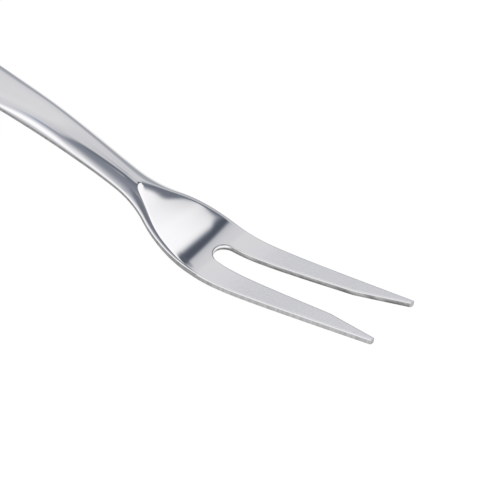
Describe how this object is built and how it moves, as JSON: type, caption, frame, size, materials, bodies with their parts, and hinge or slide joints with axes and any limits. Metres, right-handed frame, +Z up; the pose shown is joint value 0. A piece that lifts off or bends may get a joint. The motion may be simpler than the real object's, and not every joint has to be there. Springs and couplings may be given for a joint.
{
  "type": "carving fork",
  "caption": "Carving fork in one piece of polished steel: arched handle with a crowned top, narrow neck, flat facet over the shoulder, bent head and long tapering tines.",
  "frame": {"origin": "centre of the overall box in plan, at the height of the surface that the fork lies on", "axes": "+X from the handle's end to the tine tips, +Z up with the crowned face on top, +Y to the left tine; the fork lies at rest on its belly and its handle's end"},
  "size_m": [0.24, 0.0262, 0.0156],
  "materials": {
    "steel": "polished handle and shoulder, finely satined tines"
  },
  "bodies": {
    "root": {"fork": "steel"}
  },
  "joints": []
}
